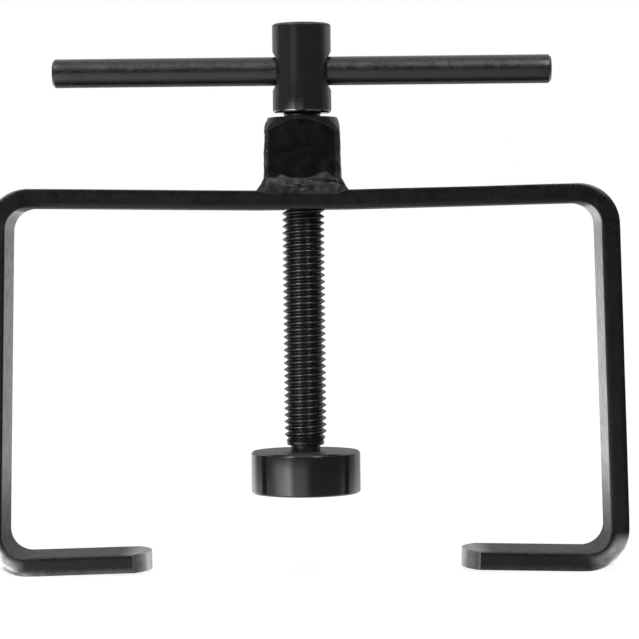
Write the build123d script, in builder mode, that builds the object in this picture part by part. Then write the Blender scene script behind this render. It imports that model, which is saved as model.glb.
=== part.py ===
from build123d import *
from math import cos, radians, sin, tan
import os

# A clutch spring compressor: a bent flat bar whose two hooks reach under the clutch, and a screw through a
# welded boss that drives a swivelling pad down on to it.
# Millimetres. X runs along the top bar, Y through the tool, and Z is up. The origin is on the screw's axis,
# on the surface that the two hooks stand on.

# Flat bar of the frame
bar_width = 20.0
bar_thickness = 5.0
bar_edge_radius = 0.4
bar_top = 102.3
bend_inner_radius = 6.0
arm_gap = 159.0
arm_gap_height = 80.0
arm_splay = 1.4
wing_lift = 1.0
wing_kink_radius = 60.0
hook_rise = 1.3
hook_heel = 75.0
hook_tip = 41.8
hook_nose_length = 4.5
nose_cut_margin = 1.0
nose_cut_width = 24.0

# Tapped boss and its weld
boss_width = 20.4
boss_depth = 20.0
boss_height = 19.6
boss_corner_radius = 1.5
boss_top_diameter = 18.8
boss_cone_angle = 43.0
boss_mouth_chamfer = 0.8
mouth_angle = 90.0
weld_leg = 2.2
weld_front_swell = 1.2
weld_height = 3.6
weld_drop = 1.2
weld_taper = 25.0
weld_corner_radius = 3.0

# Forcing screw
thread_diameter = 11.4
running_clearance = 0.05
bar_hole_diameter = 12.6
head_diameter = 15.75
head_bottom = 123.1
head_top = 147.0
head_top_chamfer = 0.4
head_bottom_chamfer = 0.7
neck_diameter = 10.1
neck_length = 0.9
neck_chamfer = 0.25
thread_lead_in = 2.1
journal_diameter = 8.0
journal_end = 22.0
journal_chamfer = 0.5

# Handle
handle_diameter = 7.75
handle_length = 133.8
handle_height = 134.4
handle_end_chamfer = 0.7
handle_hole_clearance = 0.01
spot_face_diameter = 10.6
spot_face_depth = 1.0

# Pressure pad and the ring that keeps it on
pad_diameter = 29.5
pad_bottom = 20.9
pad_top = 32.2
pad_edge_chamfer = 0.5
pad_recess_diameter = 15.0
pad_recess_depth = 3.6
pad_end_play = 1.7
ring_outer_diameter = 11.4
ring_thickness = 1.0
ring_opening = 70.0
ring_clearance = 0.1
groove_diameter = 6.4

os.makedirs("parts", exist_ok=True)


def write(part, name):
    part.label = name
    export_step(part, f"parts/{name}.step")


# The bar's middle line, on its right half: flat under the boss, then the wing, the arm and the hook.
bend_radius = bend_inner_radius + bar_thickness / 2
middle_height = bar_top - bar_thickness / 2
kink_reach = boss_width / 2 + weld_leg
lift_slope = tan(radians(wing_lift))
splay_slope = tan(radians(arm_splay))
rise_slope = tan(radians(hook_rise))
arm_reach = arm_gap / 2 + bar_thickness / 2

# The wing's line and the arm's line meet at the upper corner.
corner_reach = (
    arm_reach + (arm_gap_height - middle_height + kink_reach * lift_slope) * splay_slope
) / (1 + lift_slope * splay_slope)
corner_height = middle_height + (corner_reach - kink_reach) * lift_slope

# The arm's line and the hook's line meet at the lower corner.
hook_line = bar_thickness / 2 + hook_heel * rise_slope
heel_reach = (arm_reach + (arm_gap_height - hook_line) * splay_slope) / (1 - rise_slope * splay_slope)
heel_height = hook_line - heel_reach * rise_slope
blank_end = hook_tip - nose_cut_margin
blank_end_height = hook_line - blank_end * rise_slope

right_half = [
    (kink_reach, middle_height),
    (corner_reach, corner_height),
    (heel_reach, heel_height),
    (blank_end, blank_end_height),
]
left_half = [(-x, z) for x, z in reversed(right_half)]
bend_radii = [bend_radius, bend_radius, wing_kink_radius]

# Frame bar: one strip of constant thickness, its hook ends rounded to a nose in plan.
nose_radius = ((bar_width / 2) ** 2 + hook_nose_length**2) / (2 * hook_nose_length)
nose_centre = hook_tip + nose_radius
nose_cut_length = hook_nose_length + 2 * nose_cut_margin

with BuildPart() as frame_bar:
    with BuildSketch(Plane.XZ):
        with BuildLine():
            FilletPolyline(left_half + right_half, radius=bend_radii + bend_radii[::-1])
        trace(line_width=bar_thickness)
    extrude(amount=bar_width / 2, both=True)
    long_edges = frame_bar.faces().filter_by(Axis.Y).edges()
    cut_ends = long_edges.filter_by(lambda edge: abs(edge.center().X) < hook_tip + bar_thickness)
    end_edges = cut_ends.filter_by(lambda edge: edge.length < bar_thickness + nose_cut_margin)
    fillet(long_edges - end_edges, bar_edge_radius)
    with BuildSketch(Plane.XY):
        for side in (-1, 1):
            with Locations((side * (hook_tip + hook_nose_length), 0)):
                Rectangle(2 * nose_cut_length, nose_cut_width)
        for side in (-1, 1):
            with Locations((side * nose_centre, 0)):
                Circle(nose_radius, mode=Mode.SUBTRACT)
            with Locations((side * (hook_tip + hook_nose_length + nose_cut_length / 2), 0)):
                Rectangle(nose_cut_length, nose_cut_width, mode=Mode.SUBTRACT)
    extrude(amount=bar_top / 2, mode=Mode.SUBTRACT)
    with Locations((0, 0, bar_top)):
        Hole(bar_hole_diameter / 2, depth=2 * bar_thickness)
write(frame_bar.part, "frame_bar")

# Threaded boss: a square block whose top is turned to a cone, so that its flats end in arches.
bore_radius = thread_diameter / 2 + running_clearance
blank_radius = ((boss_width / 2) ** 2 + (boss_depth / 2) ** 2) ** 0.5
cone_drop = (blank_radius - boss_top_diameter / 2) * tan(radians(boss_cone_angle))
boss_top = bar_top + boss_height

with BuildPart() as turned_blank:
    with BuildSketch(Plane.XZ):
        with BuildLine():
            Polyline(
                (0, bar_top),
                (blank_radius, bar_top),
                (blank_radius, boss_top - cone_drop),
                (boss_top_diameter / 2, boss_top),
                (0, boss_top),
                close=True,
            )
        make_face()
    revolve(axis=Axis.Z)

with BuildPart() as threaded_boss:
    with BuildSketch(Plane.XY.offset(bar_top)):
        RectangleRounded(boss_width, boss_depth, boss_corner_radius)
    extrude(amount=boss_height)
    add(turned_blank.part, mode=Mode.INTERSECT)
    with Locations((0, 0, boss_top)):
        CounterSinkHole(
            bore_radius,
            bore_radius + boss_mouth_chamfer,
            depth=boss_height,
            counter_sink_angle=mouth_angle,
        )
write(threaded_boss.part, "threaded_boss")

# Weld: a fillet run round the boss's foot, which swells a little over the bar's front and back edges.
weld_bottom = bar_top - weld_drop

with BuildPart() as boss_weld:
    with BuildSketch(Plane.XY.offset(weld_bottom)):
        RectangleRounded(
            boss_width + 2 * weld_leg,
            bar_width + 2 * weld_front_swell,
            weld_corner_radius,
        )
    extrude(amount=weld_drop)
    with BuildSketch(Plane.XY.offset(bar_top)):
        RectangleRounded(
            boss_width + 2 * weld_leg,
            bar_width + 2 * weld_front_swell,
            weld_corner_radius,
        )
    extrude(amount=weld_height, taper=weld_taper)
    with BuildSketch(Plane.XY.offset(bar_top)):
        RectangleRounded(boss_width, boss_depth, boss_corner_radius)
    extrude(amount=boss_height, mode=Mode.SUBTRACT)
    add(frame_bar.part, mode=Mode.SUBTRACT)
    with BuildSketch(Plane.XY.offset(weld_bottom)):
        Rectangle(boss_width, bar_width)
    extrude(amount=weld_drop, mode=Mode.SUBTRACT)
write(boss_weld.part, "boss_weld")

# Forcing screw: head, threaded length (at its full diameter), neck, and the journal that turns in the pad.
# The pad hangs on its ring, so a short length of the journal shows between the neck and the pad.
head_radius = head_diameter / 2
thread_radius = thread_diameter / 2
shoulder = pad_top + pad_end_play
thread_end = shoulder + neck_length
recess_roof = pad_bottom + pad_recess_depth
ring_top = recess_roof - ring_clearance
ring_bottom = ring_top - ring_thickness
groove_top = ring_top + ring_clearance / 2
groove_bottom = ring_bottom - ring_clearance / 2
journal_radius = journal_diameter / 2
groove_radius = groove_diameter / 2

with BuildPart() as forcing_screw:
    with BuildSketch(Plane.XZ):
        with BuildLine():
            Polyline(
                (0, journal_end),
                (journal_radius - journal_chamfer, journal_end),
                (journal_radius, journal_end + journal_chamfer),
                (journal_radius, groove_bottom),
                (groove_radius, groove_bottom),
                (groove_radius, groove_top),
                (journal_radius, groove_top),
                (journal_radius, shoulder),
                (neck_diameter / 2 - neck_chamfer, shoulder),
                (neck_diameter / 2, shoulder + neck_chamfer),
                (neck_diameter / 2, thread_end),
                (thread_radius, thread_end + thread_lead_in),
                (thread_radius, head_bottom),
                (head_radius - head_bottom_chamfer, head_bottom),
                (head_radius, head_bottom + head_bottom_chamfer),
                (head_radius, head_top - head_top_chamfer),
                (head_radius - head_top_chamfer, head_top),
                (0, head_top),
                close=True,
            )
        make_face()
    revolve(axis=Axis.Z)
    for side in (-1, 1):
        with Locations(Plane(origin=(side * head_radius, 0, handle_height), z_dir=(side, 0, 0))):
            CounterBoreHole(
                handle_diameter / 2 + handle_hole_clearance,
                spot_face_diameter / 2,
                spot_face_depth,
                depth=head_radius,
            )
write(forcing_screw.part, "forcing_screw")

# Tommy bar: a plain round handle, pressed into the head at its middle.
with BuildPart() as tommy_bar:
    with BuildSketch(Plane.YZ):
        with Locations((0, handle_height)):
            Circle(handle_diameter / 2)
    extrude(amount=handle_length / 2, both=True)
    chamfer(tommy_bar.edges().filter_by(GeomType.CIRCLE), handle_end_chamfer)
write(tommy_bar.part, "tommy_bar")

# Pressure pad: a turned disc with the journal's bore and a recess under it for the ring.
with BuildPart() as pressure_pad:
    with BuildSketch(Plane.XY.offset(pad_bottom)):
        Circle(pad_diameter / 2)
    extrude(amount=pad_top - pad_bottom)
    chamfer(pressure_pad.edges().filter_by(GeomType.CIRCLE), pad_edge_chamfer)
    with Locations(Plane(origin=(0, 0, pad_bottom), z_dir=(0, 0, -1))):
        CounterBoreHole(
            journal_radius + running_clearance,
            pad_recess_diameter / 2,
            pad_recess_depth,
            depth=pad_top - pad_bottom,
        )
write(pressure_pad.part, "pressure_pad")

# Retaining ring: an open spring ring in the journal's groove, under the recess's roof.
ring_reach = ring_outer_diameter
opening_half = radians(ring_opening / 2)

with BuildPart() as pad_retaining_ring:
    with BuildSketch(Plane.XY.offset(ring_bottom)):
        Circle(ring_outer_diameter / 2)
        Circle(groove_radius + ring_clearance, mode=Mode.SUBTRACT)
        with BuildLine():
            Polyline(
                (0, 0),
                (ring_reach * cos(opening_half), ring_reach * sin(opening_half)),
                (ring_reach * cos(opening_half), -ring_reach * sin(opening_half)),
                close=True,
            )
        make_face(mode=Mode.SUBTRACT)
    extrude(amount=ring_thickness)
write(pad_retaining_ring.part, "pad_retaining_ring")
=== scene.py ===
from math import cos, pi, radians, sin, sqrt, tan

import bmesh
import bpy
from mathutils import Matrix, Vector, noise


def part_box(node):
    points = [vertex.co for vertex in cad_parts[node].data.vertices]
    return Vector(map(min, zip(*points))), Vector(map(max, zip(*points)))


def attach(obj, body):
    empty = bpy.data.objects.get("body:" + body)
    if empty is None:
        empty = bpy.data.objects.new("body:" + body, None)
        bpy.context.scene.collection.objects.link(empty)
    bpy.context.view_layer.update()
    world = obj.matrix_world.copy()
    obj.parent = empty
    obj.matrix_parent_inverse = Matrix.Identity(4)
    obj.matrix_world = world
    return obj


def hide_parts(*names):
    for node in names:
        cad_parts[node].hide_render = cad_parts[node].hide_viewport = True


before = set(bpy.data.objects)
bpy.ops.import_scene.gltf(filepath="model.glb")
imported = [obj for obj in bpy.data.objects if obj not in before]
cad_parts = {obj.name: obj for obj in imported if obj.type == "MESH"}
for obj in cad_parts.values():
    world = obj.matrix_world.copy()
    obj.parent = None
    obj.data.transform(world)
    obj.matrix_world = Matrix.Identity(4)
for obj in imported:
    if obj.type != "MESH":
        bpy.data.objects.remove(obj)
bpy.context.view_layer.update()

# The looks of a clutch spring compressor: a bent flat bar, a welded boss, a threaded screw with its handle
# and a swivelling pad, all in black oxide.
# Lengths are millimetres until dress() scales a finished piece. Materials, lamps and camera are in metres.

mm = 0.001
tiny = 1e-4


def node_box(node):
    """A CAD node's lowest and highest corners in millimetres."""
    low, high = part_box(node)
    return low / mm, high / mm


bar_high = node_box("frame_bar")[1]
boss_low, boss_high = node_box("threaded_boss")
screw_low, screw_high = node_box("forcing_screw")
handle_low, handle_high = node_box("tommy_bar")
pad_low, pad_high = node_box("pressure_pad")

# Flat bar
bar_half_width = bar_high.y
bar_thickness = 5.0
bar_edge_radius = 0.4
bar_top = boss_low.z
bend_inner_radius = 6.0
bend_middle_radius = bend_inner_radius + bar_thickness / 2
arm_gap = 159.0
arm_gap_height = 80.0
arm_splay = 1.4
wing_lift = 1.0
wing_kink_radius = 60.0
kink_reach = 12.4
hook_rise = 1.3
hook_heel = 75.0
hook_tip = 41.8
hook_nose_length = 4.5
nose_radius = (bar_half_width**2 + hook_nose_length**2) / (2 * hook_nose_length)
nose_edge_wear = 0.35
upper_bend_squeeze = 0.22
lower_bend_squeeze = 1.2
squeeze_power = 2.4
bend_bulge = 0.35
face_waver = 0.06
inner_waver_share = 0.4
edge_waver = 0.04
bar_hole_radius = 6.3

# Boss and weld
boss_width = 2 * boss_high.x
boss_depth = 2 * boss_high.y
boss_corner_radius = 1.5
boss_edge_wear = 0.35
boss_top_radius = 9.4
boss_cone_angle = 43.0
boss_mouth_chamfer = 0.8
bore_radius = 5.75
weld_leg = 2.1
weld_drop = 1.2
weld_swell = 1.15
weld_side_height = 3.5
weld_corner_radius = 0.9
weld_root_depth = 1.2
weld_root_height = 0.3

# Screw
thread_radius = 5.7
thread_pitch = 1.75
thread_depth = 1.05
thread_crest = 0.28
thread_root = 0.24
crest_round = 0.22
root_round = 0.12
thread_low = 34.8
thread_fade = 2.1
thread_high = 121.6
head_radius = screw_high.x
head_bottom = 123.1
head_top = screw_high.z
head_edge_round = 0.8
head_top_chamfer = 0.45
neck_radius = 5.05
neck_chamfer = 0.25
relief_radius = 4.9
pad_end_play = 1.7
journal_radius = 4.0
journal_chamfer = 0.5
groove_radius = 3.2
groove_low = 23.35
groove_high = 24.45

# Handle and pad
handle_radius = handle_high.z / 2 - handle_low.z / 2
handle_height = (handle_high.z + handle_low.z) / 2
handle_end_chamfer = 0.7
handle_clearance = 0.02
spot_face_radius = 5.3
spot_face_depth = 1.0
pad_radius = min(pad_high.x, pad_high.y)
pad_bore_clearance = 0.05
pad_recess_radius = 7.5
pad_recess_depth = 3.6
pad_edge_chamfer = 0.5
pad_edge_round = 0.75
pad_mouth_chamfer = 1.1


def rounded(points, radii, steps=6):
    """An open polyline's points, with an arc of its own radius at each inner corner."""
    points = [Vector(point) for point in points]
    result = [points[0]]
    for before, corner, after, radius in zip(points, points[1:], points[2:], radii):
        arriving = (corner - before).normalized()
        leaving = (after - corner).normalized()
        turn = arriving.angle_signed(leaving)
        if radius == 0 or abs(turn) < tiny:
            result.append(corner)
            continue
        start = corner - arriving * radius * tan(abs(turn) / 2)
        centre = corner + (leaving - arriving).normalized() * radius / cos(turn / 2)
        for step in range(steps + 1):
            spun = Matrix.Rotation(-turn * step / steps, 2) @ (start - centre)
            result.append(centre + spun)
    result.append(points[-1])
    return result


def divided(line, spacing):
    """The same line, with its long steps divided into steps of about the spacing."""
    places = []
    for first, second in zip(line, line[1:]):
        steps = max(1, round((second - first).length / spacing))
        places += [first.lerp(second, step / steps) for step in range(steps)]
    places.append(line[-1])
    return places


def wave(spot, grain, field=(0, 0, 0)):
    """Smooth unevenness from about -1 to 1, with grain in waves per millimetre; field shifts it."""
    return noise.noise(spot * grain + Vector(field))


def skin(bm, rings, closed_path=False):
    """Joins rings of points with faces; a ring of one point is a pole."""
    made = [[bm.verts.new(point) for point in ring] for ring in rings]
    pairs = list(zip(made, made[1:]))
    if closed_path:
        pairs.append((made[-1], made[0]))
    for first, second in pairs:
        count = max(len(first), len(second))
        for index in range(count):
            following = (index + 1) % count
            if len(first) == 1:
                bm.faces.new((first[0], second[following], second[index]))
            elif len(second) == 1:
                bm.faces.new((first[index], first[following], second[0]))
            else:
                bm.faces.new((first[index], first[following], second[following], second[index]))
    return made


def circle(radius, height, segments):
    if radius < tiny:
        return [(0, 0, height)]
    turns = [2 * pi * index / segments for index in range(segments)]
    return [(radius * cos(turn), radius * sin(turn), height) for turn in turns]


def turned(profile, segments, closed_path=False):
    """A turned form round Z, from a profile of radius and height."""
    bm = bmesh.new()
    skin(bm, [circle(radius, height, segments) for radius, height in profile], closed_path)
    return bm


def as_object(bm, name):
    bmesh.ops.recalc_face_normals(bm, faces=bm.faces)
    mesh = bpy.data.meshes.new(name)
    bm.to_mesh(mesh)
    bm.free()
    made = bpy.data.objects.new(name, mesh)
    bpy.context.scene.collection.objects.link(made)
    return made


def laid_on_cross_hole(target):
    """Turns a form from Z to X and lifts it to the head's cross hole."""
    target.data.transform(Matrix.Rotation(pi / 2, 4, "Y"))
    target.data.transform(Matrix.Translation((0, 0, handle_height)))


def apply_modifiers(target):
    graph = bpy.context.evaluated_depsgraph_get()
    mesh = bpy.data.meshes.new_from_object(target.evaluated_get(graph))
    target.modifiers.clear()
    target.data = mesh


def combine(target, tool, operation):
    """Applies an exact boolean of the tool to the target, and deletes the tool."""
    modifier = target.modifiers.new("combine", "BOOLEAN")
    modifier.object = tool
    modifier.operation = operation
    modifier.solver = "EXACT"
    apply_modifiers(target)
    bpy.data.objects.remove(tool)


def bevelled(target, width, segments, angle):
    modifier = target.modifiers.new("edges", "BEVEL")
    modifier.width = width
    modifier.segments = segments
    modifier.limit_method = "ANGLE"
    modifier.angle_limit = radians(angle)
    apply_modifiers(target)


def dress(piece, name, material, body, node, crease=38):
    """Scales a finished piece to metres and gives it its name, finish and body."""
    piece.name = name
    piece.data.name = name
    piece.data.transform(Matrix.Scale(mm, 4))
    piece.data.shade_smooth()
    piece.data.set_sharp_from_angle(angle=radians(crease))
    piece.data.materials.append(material)
    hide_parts(node)
    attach(piece, body)


# Materials


def grey(level):
    return (level, level, level, 1)


class Nodes:
    """Short calls for making a node tree."""

    def __init__(self, tree):
        self.tree = tree
        self.tree.nodes.clear()

    def add(self, kind, values=(), **settings):
        node = self.tree.nodes.new(kind)
        for key, value in settings.items():
            setattr(node, key, value)
        for key, value in dict(values).items():
            self.set(node, key, value)
        return node

    def set(self, node, key, value):
        if isinstance(value, bpy.types.NodeSocket):
            self.tree.links.new(value, node.inputs[key])
        else:
            node.inputs[key].default_value = value

    def math(self, operation, first, second=0.0, clamp=False):
        node = self.add("ShaderNodeMath", {0: first, 1: second}, operation=operation, use_clamp=clamp)
        return node.outputs[0]

    def total(self, first, *others):
        for other in others:
            first = self.math("ADD", first, other)
        return first

    def product(self, first, *others, clamp=False):
        for other in others[:-1]:
            first = self.math("MULTIPLY", first, other)
        return self.math("MULTIPLY", first, others[-1], clamp)

    def distance(self, first, second):
        """The straight length of two steps at right angles."""
        squares = [self.math("POWER", side, 2.0) for side in (first, second)]
        return self.math("SQRT", self.total(*squares))

    def ramp(self, value, low, high, bottom=0.0, top=1.0):
        """Maps a value smoothly from low..high to bottom..top."""
        settings = {"Value": value, "From Min": low, "From Max": high, "To Min": bottom, "To Max": top}
        node = self.add("ShaderNodeMapRange", settings, interpolation_type="SMOOTHSTEP")
        return node.outputs["Result"]

    def along(self, vector, axis):
        """A vector's part along an axis."""
        return self.add("ShaderNodeSeparateXYZ", {"Vector": vector}).outputs[axis]

    def facing(self, axis):
        """How far the surface faces along an axis, from -1 to 1."""
        return self.along(self.add("ShaderNodeNewGeometry").outputs["Normal"], axis)

    def noise(self, place, scale, detail=3.0, roughness=0.55, stretch=None):
        if stretch:
            place = self.add("ShaderNodeMapping", {"Vector": place, "Scale": stretch}).outputs[0]
        settings = {"Vector": place, "Scale": scale, "Detail": detail, "Roughness": roughness}
        return self.add("ShaderNodeTexNoise", settings).outputs["Fac"]

    def mottle(self, place, low=0.0, high=1.0):
        """Soft blotches, about 4 mm across."""
        return self.ramp(self.noise(place, 260, 5, 0.6), 0.3, 0.7, low, high)

    def uneven(self, place, low, high):
        """The roughness of an oxide skin, which varies every 2 mm or so."""
        return self.ramp(self.noise(place, 420, 4), 0.3, 0.7, low, high)

    def mix(self, share, first, second):
        """Mixes two tones by a share; each is a colour or the output of another node."""
        node = self.add("ShaderNodeMix", {"Factor": share}, data_type="RGBA")
        for index, tone in ((6, first), (7, second)):
            self.set(node, index, tone if isinstance(tone, bpy.types.NodeSocket) else (*tone, 1))
        return node.outputs[2]

    def bump(self, height, distance, strength, normal=None):
        settings = {"Height": height, "Distance": distance, "Strength": strength}
        node = self.add("ShaderNodeBump", settings)
        if normal:
            self.set(node, "Normal", normal)
        return node.outputs["Normal"]


def steel_material(name, level, metallic=0.0):
    """Starts a steel material: returns it, its node helper, its shader, and the place in object space."""
    material = bpy.data.materials.new(name)
    material.use_nodes = True
    nodes = Nodes(material.node_tree)
    place = nodes.add("ShaderNodeTexCoord").outputs["Object"]
    values = {"Metallic": metallic, "Specular IOR Level": level, "IOR": 1.5}
    shader = nodes.add("ShaderNodeBsdfPrincipled", values)
    nodes.set(nodes.add("ShaderNodeOutputMaterial"), "Surface", shader.outputs[0])
    return material, nodes, shader, place


def tip_wear_and_highlight(nodes, reach, height):
    """Where the oxide wears thin on top of the hooks' tips; the bright metal there is also a painted
    highlight.
    """
    near_tip = nodes.ramp(reach, 50.5 * mm, 43.5 * mm)
    on_top = nodes.ramp(nodes.facing("Z"), 0.4, 0.9)
    return nodes.product(near_tip, on_top, nodes.ramp(height, 9 * mm, 6 * mm))


def bend_flaking_and_highlight(nodes, place, from_side, from_below, patches):
    """Where the oxide has flaked off outside the lower bends, a little more on the left and less on their
    outer faces; the bright metal there is also a painted highlight.
    """
    outward = nodes.math("MAXIMUM", from_side, 0.0)
    downward = nodes.math("MAXIMUM", from_below, 0.0)
    stretched = nodes.ramp(nodes.distance(outward, downward), 6.1 * mm, 7.8 * mm)
    beside = nodes.ramp(from_side, -1 * mm, 5 * mm)
    under = nodes.ramp(from_below, 0.0, 6.5 * mm)
    leftward = nodes.ramp(nodes.along(place, "X"), -80 * mm, 80 * mm, 1.1, 1.0)
    flaking_and_highlight = nodes.product(stretched, beside, under, patches, leftward, clamp=True)
    frontal = nodes.math("ABSOLUTE", nodes.facing("Y"))
    return nodes.product(flaking_and_highlight, nodes.ramp(frontal, 0.15, 0.6, 0.5, 1.0))


def edge_scuffs_and_reflection(nodes, place, reach, height, patches):
    """Scuffs along the hooks' lower edges, more toward the heels and much more on the left, where the
    lighter edge is also a painted reflection of the floor.
    """
    rise = tan(radians(hook_rise))
    underside = nodes.product(nodes.math("SUBTRACT", hook_heel * mm, reach), rise)
    above_edge = nodes.math("SUBTRACT", height, nodes.math("MAXIMUM", underside, 0.0))
    low = nodes.ramp(above_edge, 1.9 * mm, 0.3 * mm)
    leftward = nodes.ramp(nodes.along(place, "X"), -20 * mm, 20 * mm, 0.28, 0.07)
    toward_heel = nodes.ramp(reach, 66 * mm, 80 * mm, 1.0, 2.6)
    return nodes.product(low, patches, leftward, toward_heel, clamp=True)


def rolled_roughness(nodes, place, height, rub_and_highlight, bare_and_highlight):
    """Satin, and duller under the top bar, on top of the hooks and on the lower inner faces."""
    upward = nodes.facing("Z")
    frontal = nodes.math("ABSOLUTE", nodes.facing("Y"))
    under_bar = nodes.product(nodes.ramp(upward, -0.8, -0.98), nodes.ramp(height, 50 * mm, 80 * mm))
    on_hook = nodes.product(nodes.ramp(upward, 0.3, 0.8), nodes.ramp(height, 40 * mm, 20 * mm))
    on_hook = nodes.math("SUBTRACT", on_hook, rub_and_highlight, clamp=True)
    level = nodes.ramp(upward, 0.7, 0.3)
    inner = nodes.product(nodes.ramp(frontal, 0.6, 0.2), nodes.ramp(height, 33 * mm, 9 * mm), level)
    inner = nodes.math("SUBTRACT", inner, bare_and_highlight, clamp=True)
    satin = nodes.ramp(height, 30 * mm, 8 * mm, 0.24, 0.3)
    grain = nodes.ramp(nodes.noise(place, 330, 4), 0.3, 0.7, -0.04, 0.05)
    dull = [nodes.product(inner, 0.3), nodes.product(under_bar, 0.4), nodes.product(on_hook, 0.26)]
    return nodes.total(satin, *dull, grain)


def rolled_finish():
    """Oxide on rolled bar, thin on the hook tips and flaked off outside the lower bends; that bright
    metal, and the scuffs along the hooks' lower edges, also paint in highlights and a reflection.
    """
    material, nodes, shader, place = steel_material("rolled_black_steel", 0.34)
    reach = nodes.math("ABSOLUTE", nodes.along(place, "X"))
    height = nodes.along(place, "Z")
    heel_reach, heel_height = bar_corners()[2]
    from_side = nodes.math("SUBTRACT", reach, (heel_reach - bend_middle_radius) * mm)
    from_below = nodes.math("SUBTRACT", (heel_height + bend_middle_radius) * mm, height)
    patches = nodes.ramp(nodes.noise(place, 420, 5, 0.65, (0.6, 1.6, 0.6)), 0.36, 0.6, 0.65, 1.15)

    # Bright metal shares: wear on the tips' tops and flaking outside the lower bends, both also a painted
    # highlight, and scuffs along the hooks' lower edges, also a painted reflection of the floor on the
    # left hook.
    rub_and_highlight = tip_wear_and_highlight(nodes, reach, height)
    flaking_and_highlight = bend_flaking_and_highlight(nodes, place, from_side, from_below, patches)
    scuffs_and_reflection = edge_scuffs_and_reflection(nodes, place, reach, height, patches)
    bare_and_highlight = nodes.math("MAXIMUM", nodes.product(rub_and_highlight, 0.74), nodes.math("MAXIMUM", flaking_and_highlight, scuffs_and_reflection))
    oxide = nodes.mix(nodes.mottle(place), (0.0045, 0.0045, 0.0048), (0.0072, 0.007, 0.0074))
    # Steel lighter the further out past the heels: a painted highlight on the outer bends.
    painted_heel_highlight = nodes.ramp(from_side, 4 * mm, 8.5 * mm)
    steel = nodes.mix(painted_heel_highlight, (0.36, 0.36, 0.37), (0.98, 0.98, 0.98))
    nodes.set(shader, "Base Color", nodes.mix(bare_and_highlight, oxide, steel))
    nodes.set(shader, "Metallic", nodes.product(bare_and_highlight, 0.9))
    nodes.set(shader, "Roughness", rolled_roughness(nodes, place, height, rub_and_highlight, bare_and_highlight))

    pitted = nodes.bump(nodes.noise(place, 900, 3), 0.03 * mm, 0.5)
    rolled = nodes.noise(place, 90, 3, 0.5, (0.4, 1.0, 0.4))
    nodes.set(shader, "Normal", nodes.bump(rolled, 0.12 * mm, 0.6, pitted))
    return material


def sheared_finish():
    """The cut ends of the bar: thin oxide over brighter metal with fine upright drag lines; the left end
    brightens toward its tip far more than the right, a painted highlight.
    """
    material, nodes, shader, place = steel_material("sheared_steel", 0.5, metallic=0.8)
    left = nodes.ramp(nodes.along(place, "X"), 20 * mm, -20 * mm)
    right = nodes.math("SUBTRACT", 1.0, left)
    endways = nodes.math("ABSOLUTE", nodes.facing("X"))
    # Painted highlight: the left end's metal brightens toward its tip.
    tip_highlight = nodes.math("POWER", nodes.ramp(endways, 0.66, 1.0), 2.0)
    at_edge = nodes.ramp(endways, 0.7, 0.675, 0.0, 0.3)
    bright = nodes.total(nodes.product(left, tip_highlight, 1.2), nodes.product(right, 0.17), at_edge)
    share = nodes.total(nodes.product(bright, 0.7), nodes.mottle(place, 0.0, 0.2))
    nodes.set(shader, "Base Color", nodes.mix(share, (0.05, 0.05, 0.052), (0.55, 0.55, 0.56)))
    nodes.set(shader, "Roughness", nodes.uneven(place, 0.26, 0.36))
    lines = nodes.noise(place, 1500, 2, 0.6, (1.0, 1.0, 0.04))
    nodes.set(shader, "Normal", nodes.bump(lines, 0.03 * mm, 0.5))
    return material


def worn_edge_finish():
    """Sharp corners of the cut ends, where wear has left bright steel."""
    material, nodes, shader, place = steel_material("worn_edge_steel", 0.5, metallic=0.9)
    steel = nodes.mix(nodes.mottle(place), (0.4, 0.4, 0.405), (0.85, 0.85, 0.86))
    nodes.set(shader, "Base Color", steel)
    nodes.set(shader, "Roughness", nodes.uneven(place, 0.3, 0.42))
    nodes.set(shader, "Normal", nodes.bump(nodes.noise(place, 1200, 3), 0.03 * mm, 0.6))
    return material


def boss_finish():
    """Oxide burnt dull by the welding heat, lighter at the block's rounded sides with wear and a painted
    highlight, and sooty on top.
    """
    material, nodes, shader, place = steel_material("burnt_black_steel", 0.13)
    reach = nodes.math("ABSOLUTE", nodes.along(place, "X"))
    ragged = nodes.ramp(nodes.noise(place, 320, 4, 0.6), 0.35, 0.65, 0.3, 1.2)
    # Painted highlight: a lighter tone along the block's rounded sides, in ragged patches.
    rub_and_highlight = nodes.product(nodes.ramp(reach, 8.2 * mm, 10.3 * mm), ragged)
    nodes.set(shader, "Base Color", nodes.mix(rub_and_highlight, (0.0022, 0.0022, 0.0025), (0.06, 0.06, 0.061)))
    on_top = nodes.ramp(nodes.facing("Z"), 0.2, 0.5)
    sooty = nodes.product(on_top, nodes.ramp(reach, 8.5 * mm, 5.5 * mm), 0.5)
    nodes.set(shader, "Roughness", nodes.total(sooty, nodes.uneven(place, 0.26, 0.38)))
    scale = nodes.bump(nodes.noise(place, 600, 4, 0.6, (0.35, 0.35, 1.0)), 0.025 * mm, 0.7)
    nodes.set(shader, "Normal", nodes.bump(nodes.noise(place, 150, 3), 0.08 * mm, 0.6, scale))
    return material


def weld_finish():
    """Dull grey-black bead: dark between its lumps, with a lighter burnt crust on them and fine grain."""
    material, nodes, shader, place = steel_material("weld_bead", 0.2)
    crust = nodes.ramp(nodes.noise(place, 170, 4, 0.6, (0.4, 0.5, 1.0)), 0.42, 0.58)
    nodes.set(shader, "Base Color", nodes.mix(crust, (0.004, 0.004, 0.0045), (0.03, 0.03, 0.031)))
    nodes.set(shader, "Roughness", nodes.uneven(place, 0.4, 0.55))
    nodes.set(shader, "Normal", nodes.bump(nodes.noise(place, 700, 4), 0.05 * mm, 0.7))
    return material


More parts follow.
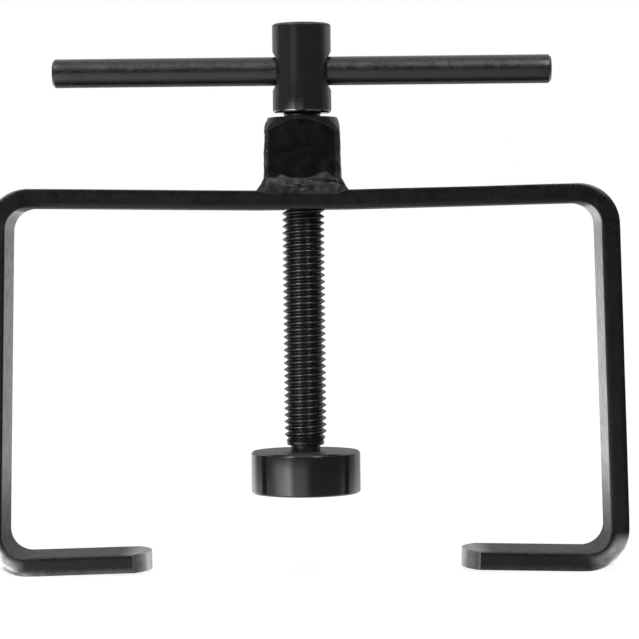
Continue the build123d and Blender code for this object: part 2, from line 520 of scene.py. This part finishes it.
def turning_marks(nodes, shader, place, lines, depth, axis):
    """Fine marks that run round the given axis, over a faint cloudy unevenness."""
    round_axis = {"Z": (0.02, 0.02, 1.0), "X": (1.0, 0.02, 0.02)}[axis]
    drawn_out = {"Z": None, "X": (0.2, 1.0, 1.0)}[axis]
    marks = nodes.noise(place, lines, 2, 0.6, round_axis)
    cloud = nodes.bump(nodes.noise(place, 200, 4, 0.6, drawn_out), 0.01 * mm, 0.4)
    nodes.set(shader, "Normal", nodes.bump(marks, depth, 0.5, cloud))


def oiled_finish(name, rough, level, lines, depth, axis, end_rough=0.0):
    """Oiled oxide over fine turning marks; end faces can be rougher."""
    material, nodes, shader, place = steel_material(name, level)
    oxide = nodes.mix(nodes.mottle(place), (0.009, 0.009, 0.0098), (0.014, 0.0137, 0.0148))
    nodes.set(shader, "Base Color", oxide)
    roughness = nodes.uneven(place, *rough)
    if end_rough:
        endways = nodes.math("ABSOLUTE", nodes.facing(axis))
        roughness = nodes.total(roughness, nodes.ramp(endways, 0.8, 0.97, 0.0, end_rough))
    nodes.set(shader, "Roughness", roughness)
    turning_marks(nodes, shader, place, lines, depth, axis)
    return material


def head_finish():
    """Smooth dark oxide, with patches of light metal on the lower round of the head, left and right of the
    middle, that are a painted glint.
    """
    material, nodes, shader, place = steel_material("head_black_steel", 0.5)
    height = nodes.along(place, "Z")
    reach = nodes.math("ABSOLUTE", nodes.along(place, "X"))
    above = nodes.ramp(height, (head_bottom + 0.1) * mm, (head_bottom + 0.25) * mm)
    below = nodes.ramp(height, (head_bottom + 0.7) * mm, (head_bottom + 0.5) * mm)
    beside = nodes.ramp(reach, 0.8 * mm, 2 * mm)
    # Painted glint: light metal patches on the lower round of the head.
    painted_light_share = nodes.product(below, above, beside, nodes.ramp(reach, 5.4 * mm, 4 * mm))
    oxide = nodes.mix(nodes.mottle(place), (0.0115, 0.0115, 0.0133), (0.0145, 0.0142, 0.0162))
    nodes.set(shader, "Base Color", nodes.mix(painted_light_share, oxide, (0.35, 0.35, 0.36)))
    nodes.set(shader, "Metallic", nodes.product(painted_light_share, 0.9))
    upper = nodes.ramp(height, 127.5 * mm, 133 * mm, 0.0, 0.05)
    top_edge = nodes.ramp(height, (head_top - 0.9) * mm, (head_top - 0.5) * mm, 0.0, 0.35)
    nodes.set(shader, "Roughness", nodes.total(nodes.uneven(place, 0.07, 0.1), upper, top_edge))
    turning_marks(nodes, shader, place, 1400, 0.003 * mm, "Z")
    return material


def thread_finish():
    """Oxide that is thin on the crests and thick with dark oil in the roots; the darker roots and the
    darker neck under the head are also painted shade.
    """
    material, nodes, shader, place = steel_material("threaded_black_steel", 0.4)
    radius = nodes.distance(nodes.along(place, "X"), nodes.along(place, "Y"))
    # Darker toward the core: oil in the roots, and painted shade in the roots and on the neck in the gap
    # under the head.
    painted_light_share = nodes.ramp(radius, (thread_radius - thread_depth) * mm, thread_radius * mm)
    nodes.set(shader, "Base Color", nodes.mix(painted_light_share, (0.009, 0.009, 0.0095), (0.014, 0.014, 0.0145)))
    nodes.set(shader, "Roughness", nodes.uneven(place, 0.2, 0.28))
    nodes.set(shader, "Normal", nodes.bump(nodes.noise(place, 700, 3), 0.015 * mm, 0.4))
    return material


def ring_finish():
    """Phosphated spring steel."""
    material, nodes, shader, place = steel_material("spring_ring_steel", 0.6)
    phosphate = nodes.mix(nodes.mottle(place), (0.03, 0.03, 0.032), (0.06, 0.06, 0.062))
    nodes.set(shader, "Base Color", phosphate)
    nodes.set(shader, "Roughness", nodes.uneven(place, 0.35, 0.5))
    nodes.set(shader, "Normal", nodes.bump(nodes.noise(place, 800, 3), 0.03 * mm, 0.5))
    return material


# Flat bar: the middle line, its stations, and the section that is carried along it


def bar_corners():
    """The middle line's corners on the right, from under the boss to the hook's tip."""
    lift, splay, rise = (tan(radians(angle)) for angle in (wing_lift, arm_splay, hook_rise))
    middle = bar_top - bar_thickness / 2
    reach = arm_gap / 2 + bar_thickness / 2
    corner_x = (reach + (arm_gap_height - middle + kink_reach * lift) * splay) / (1 + lift * splay)
    corner_z = middle + (corner_x - kink_reach) * lift
    hook_line = bar_thickness / 2 + hook_heel * rise
    heel_x = (reach + (arm_gap_height - hook_line) * splay) / (1 - rise * splay)
    heel_z = hook_line - heel_x * rise
    tip_z = hook_line - hook_tip * rise
    return [(kink_reach, middle), (corner_x, corner_z), (heel_x, heel_z), (hook_tip, tip_z)]


def bar_stations(spacing=4.0, arc_steps=16):
    """Places along the whole bar as (place, direction, bend), where bend runs from 0 to 1."""
    right = [Vector(point) for point in bar_corners()]
    left = [Vector((-point.x, point.y)) for point in reversed(right)]
    corners = left + right
    half = [bend_middle_radius, bend_middle_radius, wing_kink_radius]
    places = divided(rounded(corners, half + half[::-1], arc_steps), spacing)
    bends = [corners[1], corners[2], corners[5], corners[6]]
    bend_end = bend_middle_radius * 1.5
    bend_ease = bend_middle_radius * 0.95
    stations = []
    for index, place in enumerate(places):
        before = places[max(index - 1, 0)]
        after = places[min(index + 1, len(places) - 1)]
        direction = (after - before).normalized()
        nearest = min((place - corner).length for corner in bends)
        bend = max(0.0, min(1.0, (bend_end - nearest) / bend_ease))
        stations.append((place, direction, bend * bend * (3 - 2 * bend)))
    return stations


def bar_section(crown_steps=12, corner_steps=4):
    """Half the section's outline as (across, outward), with outward above zero."""
    half_thickness = bar_thickness / 2
    side = [0.35, 1.1, half_thickness - bar_edge_radius]
    front = [(-bar_half_width, level) for level in side]
    edge = bar_half_width - bar_edge_radius
    crown = [(-edge + 2 * edge * step / crown_steps, half_thickness) for step in range(1, crown_steps)]
    corner = []
    for step in range(1, corner_steps + 1):
        turn = pi / 2 * step / corner_steps
        corner.append((-edge - bar_edge_radius * cos(turn), side[-1] + bar_edge_radius * sin(turn)))
    first_half = front + corner
    second_half = [(-across, outward) for across, outward in reversed(first_half)]
    return first_half + crown + second_half


def bent_width(across, outward, bend, squeeze):
    """A point's place across the bar, which narrows outside a bend and bulges inside it."""
    level = outward / (bar_thickness / 2)
    if level > 0:
        return across * (1 - squeeze / bar_half_width * bend * level**squeeze_power)
    return across * (1 + bend_bulge / bar_half_width * bend * level**2)


def bar_ring(outline, place, direction, bend, nose_share):
    """The section's points at one station; nose_share bends it to the nose's arc, -1 left and 1 right."""
    outward_way = Vector((-direction.y, direction.x))
    squeeze = lower_bend_squeeze if place.y < bar_top / 2 else upper_bend_squeeze
    ring = []
    for across, outward in outline:
        across = bent_width(across, outward, bend, squeeze)
        sag = nose_radius - sqrt(nose_radius**2 - min(abs(across), bar_half_width) ** 2)
        point = place + outward_way * outward - direction * nose_share * sag
        spot = Vector((point.x, across, point.y))
        waver = (wave(spot, 0.045) - 1) * face_waver
        share = 1 if outward > 0 else inner_waver_share
        spot += Vector((outward_way.x, 0, outward_way.y)) * waver * share
        inset = (wave(spot, 0.06, (9, 4, 2)) - 1) * edge_waver
        spot.y += inset * (1 if across > 0 else -1)
        ring.append(spot)
    return ring


def close_bar_ends(bm, end_rings, half_count):
    """Closes the bar's cut ends, and wears the sharp corners round them."""
    for ring in end_rings:
        for index in range(half_count - 1):
            opposite = len(ring) - 1 - index
            end = bm.faces.new((ring[index], ring[index + 1], ring[opposite - 1], ring[opposite]))
            end.material_index = 1
    tips = {vert for ring in end_rings for vert in ring}
    rim = {edge for vert in tips for edge in vert.link_edges if set(edge.verts) <= tips}
    rim = [edge for edge in rim if edge.calc_face_angle(0) > radians(35)]
    bmesh.ops.bevel(
        bm, geom=rim, offset=nose_edge_wear, segments=2, profile=0.5, affect="EDGES", material=2
    )


def make_frame_bar():
    upper = bar_section()
    outline = upper + [(across, -outward) for across, outward in reversed(upper)]
    stations = bar_stations()
    bent = [index for index, station in enumerate(stations) if station[2] > 0.5]
    last = len(stations) - 1
    rings = []
    for index, (place, direction, bend) in enumerate(stations):
        if index < bent[0]:
            nose_share = index / bent[0] - 1
        else:
            nose_share = max(0.0, (index - bent[-1]) / (last - bent[-1]))
        rings.append(bar_ring(outline, place, direction, bend, nose_share))
    bm = bmesh.new()
    made = skin(bm, rings)
    close_bar_ends(bm, (made[0], made[-1]), len(upper))
    bar = as_object(bm, "frame_bar_looks")
    drill_top = bar_top + 3
    drill_low = bar_top - 9
    profile = [(0, drill_top), (bar_hole_radius, drill_top), (bar_hole_radius, drill_low), (0, drill_low)]
    combine(bar, as_object(turned(profile, 96), "drill"), "DIFFERENCE")
    dress(bar, "bent_bar", rolled_finish(), "frame", "frame_bar")
    bar.data.materials.append(sheared_finish())
    bar.data.materials.append(worn_edge_finish())


def square_outline(width, depth, radius, side_steps, corner_steps):
    """A rounded rectangle's points, each with its outward direction."""
    result = []
    corners = [(1, -1), (1, 1), (-1, 1), (-1, -1)]
    centres = [Vector((x * (width / 2 - radius), y * (depth / 2 - radius))) for x, y in corners]
    for turn, centre in enumerate(centres):
        for step in range(corner_steps + 1):
            angle = pi / 2 * (turn - 1 + step / corner_steps)
            outward = Vector((cos(angle), sin(angle)))
            result.append((centre + outward * radius, outward))
        next_centre = centres[(turn + 1) % 4]
        for step in range(1, side_steps):
            middle = centre.lerp(next_centre, step / side_steps)
            result.append((middle + outward * radius, outward))
    return result


def rough_cut(spot, outward):
    """Moves a point of the boss's side: coarse sawn flats, ragged corners, and a narrower top and foot."""
    top = boss_high.z
    corner_share = 1 - max(abs(outward.x), abs(outward.y)) ** 6
    coarse = wave(spot, 0.22, (1, 1, 6)) * 0.3
    fine = wave(spot, 0.62, (3, 8, 1)) * (0.07 + 0.5 * corner_share)
    finest = wave(spot, 1.4, (2, 1, 5)) * (0.03 + 0.22 * corner_share)
    flare = (top - spot.z) / (top - bar_top) * 0.3 - 0.16
    shoulder = 0.5 * outward.x**2 * max(0.0, 1 - (top - 0.7 - spot.z) / 2.6) ** 2
    aside = abs(spot.x * outward.y - spot.y * outward.x) / boss_high.x
    crown = 0.35 * aside**4 * (1 - corner_share)
    return spot + outward * (coarse + fine + finest + flare - shoulder - crown)


def make_boss(level_steps=40, cone_steps=6):
    """A square block whose top is turned to a cone, so that each flat ends in an arch."""
    top = boss_high.z
    slope = tan(radians(boss_cone_angle))
    outline = square_outline(boss_width, boss_depth, boss_corner_radius, side_steps=40, corner_steps=9)
    rings = []
    for step in range(level_steps + 1):
        ring = []
        for point, outward in outline:
            side_top = top - max(0.0, point.length - boss_top_radius) * slope
            height = bar_top + (side_top - bar_top) * step / level_steps
            ring.append(rough_cut(Vector((*point, height)), Vector((*outward, 0))))
        rings.append(ring)
    edge = rings[-1]
    for step in range(1, cone_steps + 1):
        share = step / cone_steps
        ring = []
        for spot in edge:
            radius = spot.xy.length
            around = spot.xy * (radius + (boss_top_radius - radius) * share) / radius
            ring.append(Vector((*around, spot.z + (top - spot.z) * share)))
        rings.append(ring)
    mouth = [(bore_radius + boss_mouth_chamfer, top), (bore_radius, top - boss_mouth_chamfer)]
    for radius, height in mouth + [(bore_radius, bar_top)]:
        rings.append([Vector((*(point.normalized() * radius), height)) for point, outward in outline])
    bm = bmesh.new()
    skin(bm, rings, closed_path=True)
    boss = as_object(bm, "boss_looks")
    bevelled(boss, boss_edge_wear, segments=3, angle=32)
    dress(boss, "square_boss", boss_finish(), "frame", "threaded_boss", crease=50)


def weld_crest(across):
    """The bead's upper edge on the boss's front, a hand-run line with humps of (centre, width, height)."""
    humps = [(-5.5, 1.2, 1.0), (5.6, 2.0, 1.6), (-9.2, 1.6, 0.2)]
    hump_base = 2.718
    level = 3.3
    for centre, width, height in humps:
        level += height * hump_base ** (-(((across - centre) / width) ** 2))
    return level


def weld_lumps(spot, share, travelled):
    """The bead's ripples and lumps, drawn out along the boss's foot."""
    drawn = Vector((spot.x * 0.5 + spot.z * 0.25, spot.y * 0.5, spot.z * 1.1))
    ripple = sin(2 * pi * travelled / 3.1 + 2.5 * share + 3 * wave(spot, 0.3))
    return 0.1 * ripple + wave(drawn, 0.5) * 0.8 + wave(drawn, 1.15) * 0.5


def make_weld(section_steps=20):
    """A lumpy bead round the boss's foot: a fillet on the bar's top, and a swell over its two edges."""
    outline = square_outline(boss_width, boss_depth, weld_corner_radius, side_steps=60, corner_steps=14)
    rings = []
    travelled = 0.0
    previous = outline[0][0]
    for point, outward in outline:
        travelled += (point - previous).length
        previous = point
        frontal = abs(outward.y) ** 1.5
        crest = weld_crest(point.x if outward.y < 0 else -point.x * 0.9 + 1.5)
        ring = []
        for step in range(section_steps + 1):
            share = step / section_steps
            hump = sin(pi * share)
            side_out = weld_leg * share**1.25
            side_up = weld_side_height * (1 - share)
            front_out = weld_swell * hump**0.7
            front_up = crest * (1 - share) - weld_drop * share
            out = side_out * (1 - frontal) + front_out * frontal
            up = side_up * (1 - frontal) + front_up * frontal
            spot = Vector((*(point + outward * out), bar_top + up))
            grow = weld_lumps(spot, share, travelled) * hump**0.6 * (0.3 + 0.7 * frontal)
            spot += Vector((*outward, 0)) * max(grow, 0.08 - out)
            spot.z += wave(spot, 0.6, (5, 5, 5)) * 0.35 * (1 - share)
            ring.append(spot)
        ring.append(Vector((*(point - outward * weld_root_depth), bar_top + weld_root_height)))
        rings.append(ring)
    bm = bmesh.new()
    skin(bm, rings, closed_path=True)
    weld = as_object(bm, "weld_looks")
    dress(weld, "weld_bead", weld_finish(), "frame", "boss_weld", crease=70)


def thread_profile():
    """One pitch of the thread as (along, radius), with its crest and root rounded."""
    flank = (thread_pitch - thread_crest - thread_root) / 2
    root = thread_radius - thread_depth
    corners = [
        (0, root),
        (thread_root, root),
        (thread_root + flank, thread_radius),
        (thread_root + flank + thread_crest, thread_radius),
        (thread_pitch, root),
        (thread_pitch + thread_root, root),
    ]
    return rounded(corners, [root_round, crest_round, crest_round, root_round], 2)[1:-1]


def cut_square(bm, height, way):
    """Cuts a form off level at a height, away from the given way, and closes the cut."""
    everything = bm.verts[:] + bm.edges[:] + bm.faces[:]
    bmesh.ops.bisect_plane(
        bm, geom=everything, plane_co=(0, 0, height), plane_no=(0, 0, way), clear_outer=True
    )
    cut = []
    for edge in bm.edges:
        if edge.is_boundary and all(abs(vert.co.z - height) < tiny for vert in edge.verts):
            cut.append(edge)
    bmesh.ops.contextual_create(bm, geom=cut)


def threaded_rod(segments=72):
    """A rod with a real right-hand helical thread, cut square at both ends."""
    shape = thread_profile()
    turns = round((thread_high - thread_low) / thread_pitch) + 4
    start = thread_low - 2 * thread_pitch
    bm = bmesh.new()
    rows = []
    for turn in range(turns):
        for along, radius in shape:
            row = []
            for index in range(segments):
                angle = 2 * pi * index / segments
                level = start + turn * thread_pitch + along + thread_pitch * index / segments
                grown = neck_radius + (level - thread_low) / thread_fade * (thread_radius - neck_radius)
                reach = max(thread_radius - thread_depth, min(radius, grown))
                row.append(bm.verts.new((reach * cos(angle), reach * sin(angle), level)))
            rows.append(row)
    step = len(shape)
    for number, (lower, upper) in enumerate(zip(rows, rows[1:])):
        for index in range(segments - 1):
            bm.faces.new((lower[index], lower[index + 1], upper[index + 1], upper[index]))
        if number + step + 1 < len(rows):
            ends = (lower[-1], rows[number + step][0], rows[number + step + 1][0], upper[-1])
            bm.faces.new(ends)
    cut_square(bm, thread_low, -1)
    cut_square(bm, thread_high, 1)
    return bm


def screw_head():
    """The turned head, with flat seats at the cross hole's two mouths."""
    overlap = 0.2
    profile = [
        (0, thread_high - overlap),
        (relief_radius, thread_high - overlap),
        (relief_radius, head_bottom),
        (head_radius, head_bottom),
        (head_radius, head_top - head_top_chamfer),
        (head_radius - head_top_chamfer, head_top),
        (0, head_top),
    ]
    head = as_object(turned(rounded(profile, [0, 0.4, head_edge_round, 0.25, 0.25]), 160), "head")
    floor_reach = head_radius - spot_face_depth
    half_cutter = [
        (0, -head_radius - 1),
        (spot_face_radius, -head_radius - 1),
        (spot_face_radius, -floor_reach),
        (handle_radius + handle_clearance, -floor_reach),
    ]
    whole_cutter = half_cutter + [(radius, -along) for radius, along in reversed(half_cutter)]
    cutter = as_object(turned(whole_cutter, 128), "cutter")
    laid_on_cross_hole(cutter)
    combine(head, cutter, "DIFFERENCE")
    return head


def screw_shank():
    """The journal with its ring groove, and the neck that runs up into the thread."""
    shoulder = pad_high.z + pad_end_play
    thread_core = thread_radius - thread_depth - 0.1
    profile = [
        (0, screw_low.z),
        (journal_radius - journal_chamfer, screw_low.z),
        (journal_radius, screw_low.z + journal_chamfer),
        (journal_radius, groove_low),
        (groove_radius, groove_low),
        (groove_radius, groove_high),
        (journal_radius, groove_high),
        (journal_radius, shoulder),
        (neck_radius - neck_chamfer, shoulder),
        (neck_radius, shoulder + neck_chamfer),
        (neck_radius, thread_low + 0.05),
        (thread_core, thread_low + 0.5),
        (0, thread_low + 0.5),
    ]
    return as_object(turned(profile, 96), "shank")


def make_screw():
    """Head, thread, neck and journal in one piece."""
    screw = as_object(threaded_rod(), "screw_looks")
    combine(screw, screw_shank(), "UNION")
    combine(screw, screw_head(), "UNION")
    dress(screw, "screw_and_head", thread_finish(), "spindle", "forcing_screw", crease=32)
    screw.data.materials.append(head_finish())
    for face in screw.data.polygons:
        if face.center.z > (head_bottom - 0.01) * mm:
            face.material_index = 1


def make_handle():
    """A plain round bar with chamfered ends."""
    end = handle_high.x
    profile = [
        (0, -end),
        (handle_radius - handle_end_chamfer, -end),
        (handle_radius, -end + handle_end_chamfer),
        (handle_radius, end - handle_end_chamfer),
        (handle_radius - handle_end_chamfer, end),
        (0, end),
    ]
    profile = divided(rounded(profile, [0.15, 0.2, 0.2, 0.15], 3), 3.0)
    handle = as_object(turned(profile, 96), "handle_looks")
    laid_on_cross_hole(handle)
    finish = oiled_finish(
        "handle_black_steel", rough=(0.24, 0.34), level=0.47, lines=900, depth=0.02 * mm, axis="X"
    )
    dress(handle, "handle_bar", finish, "spindle", "tommy_bar")


def make_pad():
    """A turned disc with a bore for the journal and a recess below."""
    bore = journal_radius + pad_bore_clearance
    roof = pad_low.z + pad_recess_depth
    corners = [
        (bore, roof),
        (bore, pad_high.z - pad_mouth_chamfer),
        (bore + pad_mouth_chamfer, pad_high.z),
        (pad_radius - pad_edge_chamfer, pad_high.z),
        (pad_radius, pad_high.z - pad_edge_chamfer),
        (pad_radius, pad_low.z),
        (pad_recess_radius, pad_low.z),
        (pad_recess_radius, roof),
        (bore, roof),
    ]
    radii = [0.1, 0.1, 0.15, 0.2, pad_edge_round, 0.3, 0.2]
    pad = as_object(turned(rounded(corners, radii, 5)[:-1], 192, closed_path=True), "pad_looks")
    finish = oiled_finish(
        "pad_black_steel", (0.12, 0.16), level=0.5, lines=1100, depth=0.007 * mm, axis="Z", end_rough=0.34
    )
    dress(pad, "round_pad", finish, "pad", "pressure_pad")


def finish_ring():
    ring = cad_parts["pad_retaining_ring"]
    ring.data.materials.clear()
    ring.data.materials.append(ring_finish())


# Stage: pale floor, white surroundings, soft lamps and the camera


def make_floor():
    """A pale floor that is white to the camera and keeps the object's shadow."""
    bm = bmesh.new()
    bmesh.ops.create_grid(bm, x_segments=1, y_segments=1, size=6.0)
    floor = as_object(bm, "floor")
    floor.location.z = -0.02 * mm
    material = bpy.data.materials.new("pale_floor")
    material.use_nodes = True
    nodes = Nodes(material.node_tree)
    path = nodes.add("ShaderNodeLightPath")
    seen = nodes.math("MAXIMUM", path.outputs["Is Camera Ray"], path.outputs["Is Glossy Ray"])
    seen = nodes.math("MAXIMUM", seen, path.outputs["Is Transmission Ray"])
    plain = nodes.add("ShaderNodeBsdfDiffuse", {"Color": grey(0.8)})
    faint = nodes.add("ShaderNodeBsdfDiffuse", {"Color": grey(0.22)})
    glow = nodes.add("ShaderNodeEmission", {"Color": grey(1), "Strength": 0.9})
    white = nodes.add("ShaderNodeAddShader", {0: faint.outputs[0], 1: glow.outputs[0]})
    mixed = nodes.add("ShaderNodeMixShader", {0: seen, 1: plain.outputs[0], 2: white.outputs[0]})
    nodes.set(nodes.add("ShaderNodeOutputMaterial"), "Surface", mixed.outputs[0])
    floor.data.materials.append(material)
    floor.visible_glossy = False


def gloss_room(nodes):
    """What gloss sees: a white wall behind and a dim room in front, with a few white cards.

    Angles are degrees. Azimuth 0 is at the camera's side, positive turns to the right, and 180 is behind.
    """
    way = nodes.add("ShaderNodeTexCoord").outputs["Generated"]
    toward = nodes.product(nodes.along(way, "Y"), -1.0)
    degree = 180 / pi
    azimuth = nodes.product(nodes.math("ARCTAN2", nodes.along(way, "X"), toward), degree)
    elevation = nodes.product(nodes.math("ARCSINE", nodes.along(way, "Z")), degree)

    def band(value, limits, fades):
        low, high = limits
        low_fade, high_fade = fades
        rising = nodes.ramp(value, low - low_fade, low)
        return nodes.product(rising, nodes.ramp(value, high + high_fade, high))

    def card(level, across, across_fades, upward, upward_fades):
        """A white card with soft edges, from one azimuth to another and from one elevation to another."""
        area = nodes.product(band(azimuth, across, across_fades), band(elevation, upward, upward_fades))
        return nodes.product(area, level)

    wall = [
        card(1.0, (-181, -140), (1, 20), (-16, -1), (8, 4)),
        card(0.25, (-181, -140), (1, 20), (-16, -4), (8, 4)),
        card(0.55, (135, 181), (20, 1), (-16, -1), (8, 4)),
        card(0.45, (-181, -120), (1, 22), (4, 40), (4, 10)),
        card(0.45, (115, 181), (27, 1), (4, 40), (4, 10)),
        card(0.28, (-181, -120), (1, 22), (-46, -16), (20, 6)),
        card(0.28, (115, 181), (27, 1), (-46, -16), (20, 6)),
    ]
    sides = [
        card(0.3, (-140, -118), (10, 24), (-30, 30), (20, 20)),
        card(0.26, (106, 135), (30, 10), (-30, 30), (20, 20)),
        card(0.9, (-145, -95), (15, 27), (-60, -12), (20, 8)),
        card(0.85, (95, 145), (27, 15), (-60, -12), (20, 8)),
        card(0.17, (-110, -60), (20, 10), (-60, 20), (20, 10)),
    ]
    left_front = [
        card(3.8, (-42, -36), (44, 12), (-42, -3.6), (20, 1.1)),
        card(1.25, (-38, -8), (10, 22), (-42, -3.6), (20, 1.1)),
        card(0.5, (-33, -29), (24, 18), (2, 20), (4, 8)),
    ]
    high_front = [
        card(28.0, (-44, -34), (7, 7), (30, 50), (7, 14)),
        card(22.0, (23, 33), (7, 7), (30, 50), (7, 14)),
    ]
    below_and_above = [
        card(0.12, (-30, 60), (20, 30), (-44, -16), (24, 10)),
        card(0.55, (-181, 181), (1, 1), (-90, -52), (1, 14)),
        card(0.9, (-181, 181), (1, 1), (50, 91), (34, 1)),
    ]
    room_level = 0.13
    return nodes.total(room_level, *wall, *sides, *left_front, *high_front, *below_and_above)


def make_surroundings():
    """White for the camera, the painted room for gloss, and plain soft light for the rest."""
    world = bpy.data.worlds.new("studio")
    bpy.context.scene.world = world
    world.use_nodes = True
    nodes = Nodes(world.node_tree)
    path = nodes.add("ShaderNodeLightPath")
    soft = nodes.add("ShaderNodeBackground", {"Color": grey(1), "Strength": 0.55})
    gloss = nodes.add("ShaderNodeBackground", {"Color": grey(1), "Strength": gloss_room(nodes)})
    white = nodes.add("ShaderNodeBackground", {"Color": grey(1), "Strength": 1.0})
    glossy = nodes.math("MAXIMUM", path.outputs["Is Glossy Ray"], path.outputs["Is Transmission Ray"])
    unseen = nodes.add("ShaderNodeMixShader", {0: glossy, 1: soft.outputs[0], 2: gloss.outputs[0]})
    seen = path.outputs["Is Camera Ray"]
    mixed = nodes.add("ShaderNodeMixShader", {0: seen, 1: unseen.outputs[0], 2: white.outputs[0]})
    nodes.set(nodes.add("ShaderNodeOutputWorld"), "Surface", mixed.outputs[0])


def softbox(name, azimuth, elevation, distance, size, radiance):
    """An area lamp in metres and degrees; azimuth 0 is at the camera's side, and positive turns right."""
    width, height = size
    data = bpy.data.lights.new(name, "AREA")
    data.shape = "RECTANGLE"
    data.size = width
    data.size_y = height
    data.energy = radiance * pi * width * height
    lamp = bpy.data.objects.new(name, data)
    bpy.context.scene.collection.objects.link(lamp)
    around = radians(azimuth)
    up = radians(elevation)
    away = Vector((sin(around) * cos(up), -cos(around) * cos(up), sin(up)))
    aim = Vector((0, 0, 0.07))
    lamp.location = aim + away * distance
    lamp.rotation_mode = "QUATERNION"
    lamp.rotation_quaternion = away.to_track_quat("Z", "Y")
    lamp.visible_glossy = False


def make_lamps():
    softbox("left_front_box", azimuth=-43, elevation=4, distance=1.3, size=(0.42, 1.1), radiance=3.2)
    softbox("overhead_box", azimuth=0, elevation=78, distance=1.3, size=(1.6, 0.9), radiance=0.9)
    softbox("right_fill", azimuth=70, elevation=30, distance=1.5, size=(0.7, 0.9), radiance=0.35)


def make_camera():
    """A long lens in front of the tool, turned a little to the left, down and clockwise."""
    yaw, pitch, roll = radians(0.2828), radians(1.5061), radians(0.5919)
    place = Vector((7.2268, -636.03, 84.322)) * mm
    data = bpy.data.cameras.new("camera")
    data.lens = 132.98
    data.sensor_width = 36.0
    data.clip_start = 0.01
    data.clip_end = 20.0
    camera = bpy.data.objects.new("camera", data)
    bpy.context.scene.collection.objects.link(camera)
    forward = Vector((-sin(yaw) * cos(pitch), cos(yaw) * cos(pitch), -sin(pitch)))
    level_right = Vector((cos(yaw), sin(yaw), 0))
    level_up = level_right.cross(forward)
    right = level_right * cos(roll) - level_up * sin(roll)
    up = level_right * sin(roll) + level_up * cos(roll)
    turn = Matrix((right, up, -forward)).transposed().to_4x4()
    camera.matrix_world = Matrix.Translation(place) @ turn
    bpy.context.scene.camera = camera


make_frame_bar()
make_boss()
make_weld()
make_screw()
make_handle()
make_pad()
finish_ring()
make_floor()
make_surroundings()
make_lamps()
make_camera()
bpy.context.scene.view_settings.view_transform = "Standard"
